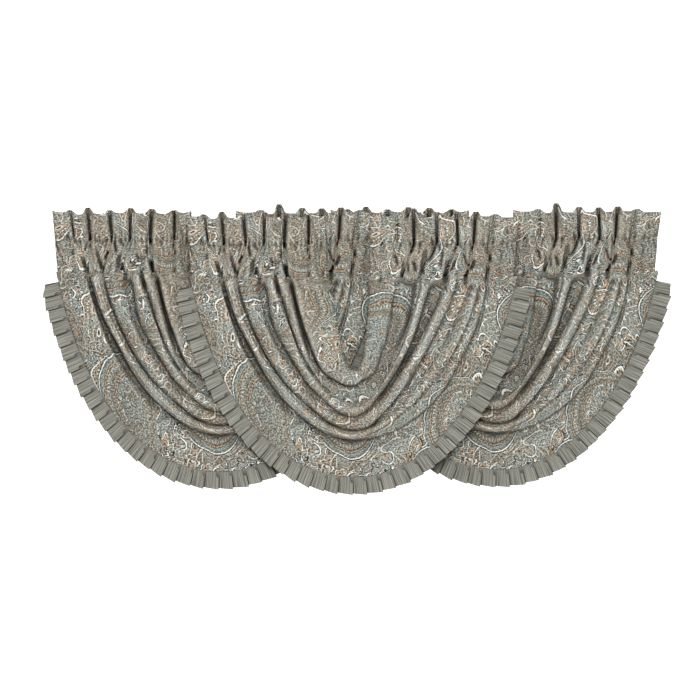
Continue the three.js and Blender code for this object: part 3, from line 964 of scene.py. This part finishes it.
def scattered_drops(place, kind):
    """Drops of one kind, one in each cell: their level, the way round, and the two numbers of the cell."""
    size = dict(zip(DROP_COLUMNS, DROPS[kind]))
    x, y, first, second = scatter(place, size["cell"], size["uneven"])
    return *drop(x, y, size["length"], size["width"], size["taper"], size["curl"]), first, second


def petals(level, around, row):
    """A ring of petals between two levels: more than 0 inside a petal, and most in the middle of one.

    A cosine of the way round makes the row, and a square of the way across the ring closes each petal's
    ends.
    """
    count, inner, outer = row
    wave = (around * (FULL_TURN * count)).math("COSINE")
    off = (level - (inner + outer) / 2) * (2 / (outer - inner))
    return wave - off * off * PETAL_CLOSE + PETAL_LIFT


print({kind: round(2 * size[2], 3) for kind, size in DROPS.items()}, "metres from foot to tip")


# %% Bands of the figure, from the middle of a motif outwards
LEAF_BANDS = [
    (0.00, GROUND), (0.12, GROUND), (0.15, DUSK), (0.24, DUSK), (0.27, GROUND), (0.40, GROUND), (0.44, DARK),
    (0.50, DARK), (0.54, TAN), (0.68, TAN), (0.72, DARK), (0.78, DARK), (0.82, CREAM), (0.92, CREAM),
    (0.96, GROUND), (1.00, GROUND),
]
STROKE_BANDS = [
    (0.00, GROUND), (0.10, GROUND), (0.14, AQUA), (0.26, AQUA), (0.30, LIGHT), (0.40, LIGHT), (0.44, DARK),
    (0.52, DARK), (0.56, GROUND), (0.66, GROUND), (0.70, DUSK), (0.78, DUSK), (0.82, LIGHT), (0.86, LIGHT),
    (0.90, GROUND), (1.00, GROUND),
]
ROSETTE_BANDS = [
    (0.00, DARK), (0.14, DARK), (0.20, TAN), (0.42, TAN), (0.48, DUSK), (0.56, DUSK), (0.62, AQUA),
    (0.74, LIGHT), (0.84, CREAM), (0.92, DARK), (1.00, DARK),
]
SPRAY_BANDS = [
    (0.00, TAN), (0.32, TAN), (0.38, DUSK), (0.74, DUSK), (0.80, DARK), (0.84, DARK), (0.88, CREAM),
    (1.00, CREAM),
]
SMALL_DROP_BANDS = [
    (0.00, DARK), (0.08, DARK), (0.13, LIGHT), (0.20, LIGHT), (0.25, TAN), (0.33, TAN), (0.37, DUSK),
    (0.41, GROUND), (0.64, GROUND), (0.68, DUSK), (0.72, TAN), (0.78, TAN), (0.82, GROUND), (0.90, CREAM),
    (0.95, CREAM), (0.97, DARK), (1.00, DARK),
]
LARGE_DROP_BANDS = [
    (0.00, GROUND), (0.60, GROUND), (0.61, DARK), (0.622, TAN), (0.636, TAN), (0.648, DARK), (0.66, GROUND),
    (0.73, DUSK), (0.75, GROUND), (0.84, GROUND), (0.85, DARK), (0.864, TAN), (0.878, TAN), (0.89, DARK),
    (0.90, AQUA), (0.912, AQUA), (0.918, DUSK), (0.926, AQUA), (0.936, AQUA), (0.942, DARK), (0.95, GROUND),
    (0.96, DARK), (0.972, CREAM), (0.982, CREAM), (0.988, DARK), (1.00, DARK),
]
print("the large drop has", len(LARGE_DROP_BANDS), "stops in its bands")


# %% Scrolls and blossoms from noises
LINE_DETAIL = 0.6
LINES = {  # shift on the cloth, scale of the noise, and number of lines between its lowest and highest place
    "leaves": ((0.0, 0.0, 0.0), 17.0, 8.0),
    "strokes": ((3.7, 1.9, 0.0), 23.0, 7.0),
    "parting": ((5.3, 2.9, 0.0), 9.0, 4.0),
}
PARTED = (0.25, 0.75, 0.04)  # where strokes take the place of leaves
BLOSSOM_SHIFT = (7.1, 4.3, 0.0)
BLOSSOM_PATCHES = (6.0, 1.0)  # scale and detail of the slow noise
BLOSSOM_RELIEF = (36.0, 2.0)  # and of the quick one
BLOSSOM_WHERE = (0.5, 0.56)  # blossoms grow where the slow noise is above this
BLOSSOM_BANDS = ((DARK, (0.50, 0.80, 0.015)), (CREAM, (0.54, 0.572, 0.01)), (AQUA, (0.61, 0.67, 0.012)))
BLOSSOM_HEART = (0.68, 0.70)


def noise(place, scale, detail, output=0):
    """A smooth noise over the flat cloth, with 0.5 as its mean."""
    inputs = {"Vector": place, "Scale": scale, "Detail": detail}
    return place.node("TexNoise", {"noise_dimensions": "2D"}, inputs, output)


def moved(place, shift):
    """Another place on the cloth, where the same noise looks different."""
    return place.node("VectorMath", {"operation": "ADD"}, {0: place, 1: shift})


def contour_lines(place, kind):
    """Long lines side by side: the contour lines of a smooth noise, as a share from 0 to 1 across each."""
    shift, scale, count = LINES[kind]
    return (noise(moved(place, shift), scale, LINE_DETAIL) * count).math("FRACT")


def scrolls(place):
    """Fine leaves and strokes: two sets of contour lines, and a third, slower one that parts them."""
    leaves, strokes, parting = (contour_lines(place, kind) for kind in LINES)
    return leaves.bands(LEAF_BANDS).over(strokes.bands(STROKE_BANDS), parting.between(*PARTED))


def blossoms(place, figure):
    """Patches with dark edges, a cream line, aqua and a tan heart: bands of a quick noise's height.

    A slow noise says where they may grow.
    """
    shifted = moved(place, BLOSSOM_SHIFT)
    where = noise(shifted, *BLOSSOM_PATCHES).step(*BLOSSOM_WHERE)
    height = noise(shifted, *BLOSSOM_RELIEF)
    for colour, band in BLOSSOM_BANDS:
        figure = figure.over(colour, height.between(*band) * where)
    return figure.over(TAN, height.step(*BLOSSOM_HEART) * where)


print("scrolls from", list(LINES))

# %% Sprays and rosettes
MOTIF_EDGE = (1.02, 0.98)
SPRAY_EDGE = (0.76, 1.0, 0.02)
SPRAY_HEART = (0.34, 0.3)
SPRAY_BARE = 0.45  # share of the cells without a spray
ROSETTE_CELL, ROSETTE_UNEVEN = 70 * MM, 0.8
ROSETTE_RADIUS = 15.5 * MM
ROSETTE_LOBE = 3.6 * MM  # how far its petals stand out and in
ROSETTE_PETALS = 5
ROSETTE_BARE = 0.6


def sprays(place, figure):
    """Small curled leaves: a light edge, a tan heart, and the ground's own figure between."""
    level, _, first, _ = scattered_drops(place, "spray")
    drawn = level.between(*SPRAY_EDGE) + level.step(*SPRAY_HEART)
    return figure.over(level.bands(SPRAY_BANDS), drawn * first.above(SPRAY_BARE))


def rosettes(place, figure):
    """Petals round a dark eye: a cosine of the way round moves the edge out and in."""
    x, y, first, _ = scatter(place, ROSETTE_CELL, ROSETTE_UNEVEN)
    lobes = (y.math("ARCTAN2", x) * ROSETTE_PETALS).math("COSINE")
    out = (x * x + y * y).math("SQRT") / (lobes * ROSETTE_LOBE + ROSETTE_RADIUS)
    return figure.over(out.bands(ROSETTE_BANDS), out.step(*MOTIF_EDGE) * first.above(ROSETTE_BARE))


print("rosettes", round(2 * ROSETTE_RADIUS / MM), "mm across")

# %% Small and large drops
PETAL_EDGE = (0.0, 0.3)
SMALL_PETALS = (17, 0.42, 0.60)  # how many in a row, and the levels it lies between
SMALL_PETAL_HEART = (0.7, 1.0)
SMALL_RIM = (30, 0.76, 0.88)
SMALL_RIM_EDGE = (0.2, 0.5)
SMALL_BARE = 0.35  # share of the cells without a small drop
LARGE_EDGE = (1.01, 0.995)
LARGE_HEART_EDGE = (0.6, 0.605)
LARGE_PETALS = (80, 0.75, 0.85)
LARGE_PETAL_HEART = (0.75, 1.05)
LARGE_COMB = (80, 0.68, 0.73)
LARGE_COMB_EDGE = (0.2, 0.6)
ECHOES = 17.0  # lines that repeat a drop's outline, as many as this from its middle to its edge
ECHO_LINE = (0.3, 0.55, 0.1)
TINTS = {  # where a value is high or low enough, and how strong the tint is there
    "warm heart": ((0.55, 0.65), 0.2),
    "cool heart": ((0.45, 0.35), 0.25),
    "dark heart": ((0.4, 0.6), 0.35),
    "echoed heart": ((0.6, 0.4), 0.5),
    "warm zone": ((0.5, 0.62), 0.45),
    "cool zone": ((0.48, 0.36), 0.25),
}


def tint(value, kind):
    """The mask of a tint."""
    limits, share = TINTS[kind]
    return value.step(*limits) * share


def small_drops(place, figure):
    """Drops about 10 cm long, with a row of petals and a toothed rim inside their edge."""
    level, around, _, second = scattered_drops(place, "small")
    row = petals(level, around, SMALL_PETALS)
    rim = petals(level, around, SMALL_RIM)
    colour = level.bands(SMALL_DROP_BANDS).over(DUSK, row.step(*PETAL_EDGE))
    colour = colour.over(CREAM, row.step(*SMALL_PETAL_HEART)).over(DARK, rim.step(*SMALL_RIM_EDGE))
    return figure.over(colour, level.step(*MOTIF_EDGE) * second.above(SMALL_BARE))


def large_drops(place, figure):
    """Long drops ringed with bands and petals. The ground's own figure shows in their heart, in a tint."""
    level, around, first, second = scattered_drops(place, "large")
    echo = (level * ECHOES).math("FRACT").between(*ECHO_LINE)
    heart = figure.over(TAN, tint(first, "warm heart")).over(AQUA, tint(first, "cool heart"))
    heart = heart.over(DUSK, tint(second, "dark heart")).over(DUSK, echo * tint(second, "echoed heart"))
    row = petals(level, around, LARGE_PETALS)
    comb = petals(level, around, LARGE_COMB)
    colour = level.bands(LARGE_DROP_BANDS).over(DUSK, row.step(*PETAL_EDGE))
    colour = colour.over(LIGHT, row.step(*LARGE_PETAL_HEART)).over(DUSK, comb.step(*LARGE_COMB_EDGE))
    return figure.over(heart.over(colour, level.step(*LARGE_HEART_EDGE)), level.step(*LARGE_EDGE))


print("petals round a drop:", SMALL_PETALS[0], "and", LARGE_PETALS[0])

# %% The whole figure
WARP_NOISE = (22.0, 1.0)  # scale and detail
BENT, CALM = 18 * MM, 10 * MM  # how far the warp moves the small motifs, and how far the large drops
ZONE_NOISE = (6.5, 1.0)


def paisley(place):
    """The colour of the woven figure at each flat place of the cloth.

    A noise moves the places a little, so that no motif is quite regular, and another one tints the
    ground in warm and cool zones.
    """
    warp = noise(place, *WARP_NOISE, "Color")
    centred = place.node("VectorMath", {"operation": "SUBTRACT"}, {0: warp, 1: (0.5, 0.5, 0.5)})
    add = {"operation": "MULTIPLY_ADD"}
    bent, calm = (
        place.node("VectorMath", add, {0: centred, 1: (reach, reach, 0.0), 2: place})
        for reach in (BENT, CALM)
    )
    zones = noise(place, *ZONE_NOISE)
    ground = scrolls(bent).over(UMBER, tint(zones, "warm zone")).over(AQUA, tint(zones, "cool zone"))
    figure = rosettes(bent, blossoms(bent, sprays(bent, ground)))
    return large_drops(calm, small_drops(bent, figure))


print("zones about", round(1 / ZONE_NOISE[0], 2), "m across")

# %% [markdown]
# ## From figure to cloth
# Seen close, single threads come to the surface as light and dark specks, and the weave slants in fine
# lines. Both go over the figure, and their height is a fine bump. Last comes the crease value of each
# sheet, painted into the colour: painted shade in the creases, and a little painted highlight on the
# crests. Both materials of this object need the same start and end, so two small functions make those.

# %% The jacquard's material
SPECKLE = 0.65  # how strongly single threads show as light and dark
SPECKLE_LIT = 0.6  # light ones against dark ones
SPECKLE_NOISE = ((200.0, 300.0, 1.0), 2.0)  # scale along warp and weft, and detail
LIT_FROM, SHADED_FROM = (0.5, 0.72), (0.5, 0.28)
TWILL = 5 * MM  # from one slanting line of the weave to the next
TWILL_SHARE = 0.04  # how much of that line there is in the speckle
PAINTED_HIGHLIGHT = 0.22  # painted highlight: how much lighter the cloth's colour is made on a crest
CREASE_SHADE = 0.80  # painted shade: how much darker the cloth's colour is made at the bottom of a crease
PANEL_RELIEF = (0.4, 0.6 * MM)  # strength and height of the bump
PANEL_ROUGHNESS = 0.85


def stretched_noise(place, scale, detail):
    """A noise with a scale of its own along and across the cloth."""
    return noise(place.node("Mapping", {}, {"Vector": place, "Scale": scale}), 1.0, detail)


def cloth_material(name):
    """A new material, and the wires of its cloth's flat place and crease value."""
    material = bpy.data.materials.new(name)
    material.use_nodes = True
    place = Wire(material.node_tree).node("UVMap", {"uv_map": UV_NAME}, {})
    return material, place, place.node("Attribute", {"attribute_name": CREASE_NAME}, {}, "Fac")


def weave(material, colour, height, relief, roughness):
    """Gives the material's shader its colour, its bump and its roughness."""
    shader = material.node_tree.nodes["Principled BSDF"]
    strength, depth = relief
    bump = height.node("Bump", {}, {"Strength": strength, "Distance": depth, "Height": height})
    material.node_tree.links.new(colour.socket, shader.inputs["Base Color"])
    material.node_tree.links.new(bump.socket, shader.inputs["Normal"])
    shader.inputs["Roughness"].default_value = roughness
    print(material.name, "has", len(material.node_tree.nodes), "nodes")
    return material


def jacquard():
    """Paisley jacquard: the figure in matt thread, thread ends as speckle, a fine bump, and painted crease
    shade and crest highlight.
    """
    material, place, crease = cloth_material("paisley_jacquard")
    apart = place.node("SeparateXYZ", {}, {0: place})
    twill = ((apart + apart.sibling(1)) * (FULL_TURN / TWILL)).math("SINE")
    speckle = stretched_noise(place, *SPECKLE_NOISE) + twill * TWILL_SHARE
    lit = speckle.step(*LIT_FROM) * (SPECKLE * SPECKLE_LIT)
    shade = speckle.step(*SHADED_FROM) * SPECKLE
    figure = paisley(place).over(CREAM, lit).over(DARK, shade)
    # painted highlight on the crests and painted shade in the creases, from each sheet's crease value
    figure = figure.over(CREAM, crease.step(0.0, -1.0) * PAINTED_HIGHLIGHT)
    figure = figure.over(PAINTED_SHADE, crease.math("MAXIMUM", 0.0) * CREASE_SHADE)
    return weave(material, figure, speckle, PANEL_RELIEF, PANEL_ROUGHNESS)


WOVEN = jacquard()

# %% [markdown]
# ## The trim's ribbed cloth
# The trim is plain: a taupe-grey weave whose fine ribs run across the strip, so they point down the
# pleats. On the real cloth single ribs are lighter or darker than their neighbours. A noise that is
# stretched along the ribs gives those streaks, and a sine gives the ribs themselves as bump. Under the
# edge of each pleat, painted shade darkens the colour.

# %% The trim's material
RIB = 1.8 * MM
TAUPE = thread(146, 145, 137)
TAUPE_SHADE = thread(108, 107, 101)
TAUPE_LIGHT = thread(182, 181, 172)
# not a thread: the colour of the painted shade under the edge of each pleat
PAINTED_PLEAT_SHADE = thread(48, 47, 43)
STREAK_NOISE = ((500.0, 10.0, 1.0), 3.0)  # scale across and along the ribs, and detail
STREAK_BANDS = [(0.25, TAUPE_SHADE), (0.5, TAUPE), (0.75, TAUPE_LIGHT)]
STREAK_LIFT = 2.0  # how far light ribs stand out, against the ribs' own height
PLEAT_SHADE = 0.85  # painted shade: how much darker the cloth's colour is made where it comes out from under a pleat
TRIM_RELIEF = (0.5, 0.5 * MM)  # strength and height of the bump
TRIM_ROUGHNESS = 0.9


def ribbed_cloth():
    """Plain ribbed weave: streaks along the ribs in three tones of taupe, with the ribs as bump, and painted
    shade under each pleat's edge.
    """
    material, place, crease = cloth_material("ribbed_trim")
    streaks = stretched_noise(place, *STREAK_NOISE)
    # painted shade under the edge of each pleat
    colour = streaks.bands(STREAK_BANDS).over(PAINTED_PLEAT_SHADE, crease * PLEAT_SHADE)
    along = place.node("SeparateXYZ", {}, {0: place})
    ribs = (along * (FULL_TURN / RIB)).math("SINE") + streaks * STREAK_LIFT
    return weave(material, colour, ribs, TRIM_RELIEF, TRIM_ROUGHNESS)


RIBBED = ribbed_cloth()

# %% [markdown]
# ## Hanging the pieces
# The three valances are the same four cut pieces, so a loop makes them at each rod. Every piece takes
# the place of its solid in the frame, and rides on the only body.

# %% Make every piece
PANEL_CLOTH = 1.2 * MM
TRIM_CLOTH = 0.6 * MM


def hang_valance(valance, place):
    """Makes the four pieces of one valance at its rod and ties them to the frame."""
    swag = sheet_piece(valance + "_swag_cloth", SWAG + place, SWAG_FLAT, SWAG_CREASE, PANEL_CLOTH)
    made = [(swag, "swag", SWAG_CUT, SWAG_AREA)]
    for side, (band, crease, flat, cut) in HEADINGS.items():
        piece = sheet_piece(valance + "_band_" + side, band + place, flat, crease, PANEL_CLOTH)
        made.append((piece, "heading_" + side, cut, None))
    trim = sheet_piece(valance + "_trim_strip", TRIM + place, TRIM_FLAT, TRIM_SHADE, TRIM_CLOTH)
    made.append((trim, "trim", TRIM_CUT, None))
    for piece, node, cut, area in made:
        piece.data.materials.append(RIBBED if node == "trim" else WOVEN)
        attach(piece, "root")
        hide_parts(valance + "_" + node)
        "trim_cloth" if node == "trim" else "panel_cloth"


for valance, place in RODS.items():
    hang_valance(valance, place)

# %% [markdown]
# ## Camera, light and floor
# The picture looks straight at the cloth from far away, so a long lens stands square to the rods. The
# light is that of a studio: wide soft lamps. The strongest stands in front, a weaker one on each side
# shows the folds, and one behind lights the backs. A pale surround fills the folds. One lamp from above
# would show the folds better, but it would lay the shade of each valance on the next. The floor lies
# well below, where it only sends a little light back up.

# %% Camera
VIEW_WIDTH = 1.75  # metres across the picture
VIEW_MIDDLE = (-0.0125, -0.225)  # x and z in the middle of the picture
LENS, SENSOR = 200, 36  # focal length and sensor width in millimetres

lens = bpy.data.cameras.new("camera")
lens.lens = LENS
lens.sensor_width = SENSOR
camera = bpy.data.objects.new("camera", lens)
bpy.context.scene.collection.objects.link(camera)
camera.location = (VIEW_MIDDLE[0], -VIEW_WIDTH * LENS / SENSOR, VIEW_MIDDLE[1])
camera.rotation_euler = (math.pi / 2, 0, 0)
bpy.context.scene.camera = camera
print("camera", [round(x, 2) for x in camera.location])

# %% Lamps, surround and floor
SURROUND = 0.16  # strength of the light from all sides
LAMP_AIM = Vector((0.0, 0.0, -0.2))
LAMP_SIZE = 1.6  # metres across
LAMPS = (  # name, place and watts
    ("left lamp", (-2.4, -4.4, 2.6), 48),
    ("right lamp", (2.4, -4.4, 2.6), 48),
    ("front lamp", (0.0, -6.0, 0.9), 172),
    ("back lamp", (0.0, 5.0, 2.0), 120),
)
WHITE = (1.0, 1.0, 1.0, 1.0)
PALE = (0.8, 0.8, 0.78, 1.0)
FLOOR_Z = -1.9
FLOOR_RADIUS = 3
FLOOR_SIDES = 96

for name, place, power in LAMPS:
    light = bpy.data.lights.new(name, "AREA")
    light.shape = "DISK"
    light.size = LAMP_SIZE
    light.energy = power
    lamp = bpy.data.objects.new(name, light)
    lamp.location = place
    lamp.rotation_euler = (LAMP_AIM - lamp.location).to_track_quat("-Z", "Y").to_euler()
    bpy.context.scene.collection.objects.link(lamp)

world = bpy.data.worlds.new("surround")
world.use_nodes = True
world.node_tree.nodes.clear()
sky = Wire(world.node_tree)
seen = sky.node("LightPath", {}, {}, "Is Camera Ray")
white = sky.node("Background", {}, {"Color": WHITE, "Strength": 1.0})
soft = sky.node("Background", {}, {"Color": WHITE, "Strength": SURROUND})
mixed = sky.node("MixShader", {}, {0: seen, 1: soft, 2: white})
output = world.node_tree.nodes.new("ShaderNodeOutputWorld")
world.node_tree.links.new(mixed.socket, output.inputs["Surface"])
bpy.context.scene.world = world
bpy.context.scene.view_settings.view_transform = "Standard"
bpy.context.scene.view_settings.look = "High Contrast"

bpy.ops.mesh.primitive_circle_add(
    vertices=FLOOR_SIDES, radius=FLOOR_RADIUS, fill_type="NGON", location=(0, 0, FLOOR_Z))
floor = bpy.context.object
floor.name = "floor"
pale = bpy.data.materials.new("pale_floor")
pale.use_nodes = True
pale.node_tree.nodes["Principled BSDF"].inputs["Base Color"].default_value = PALE
floor.data.materials.append(pale)
print(len(LAMPS), "lamps, and a floor", FLOOR_Z, "m below the rods")
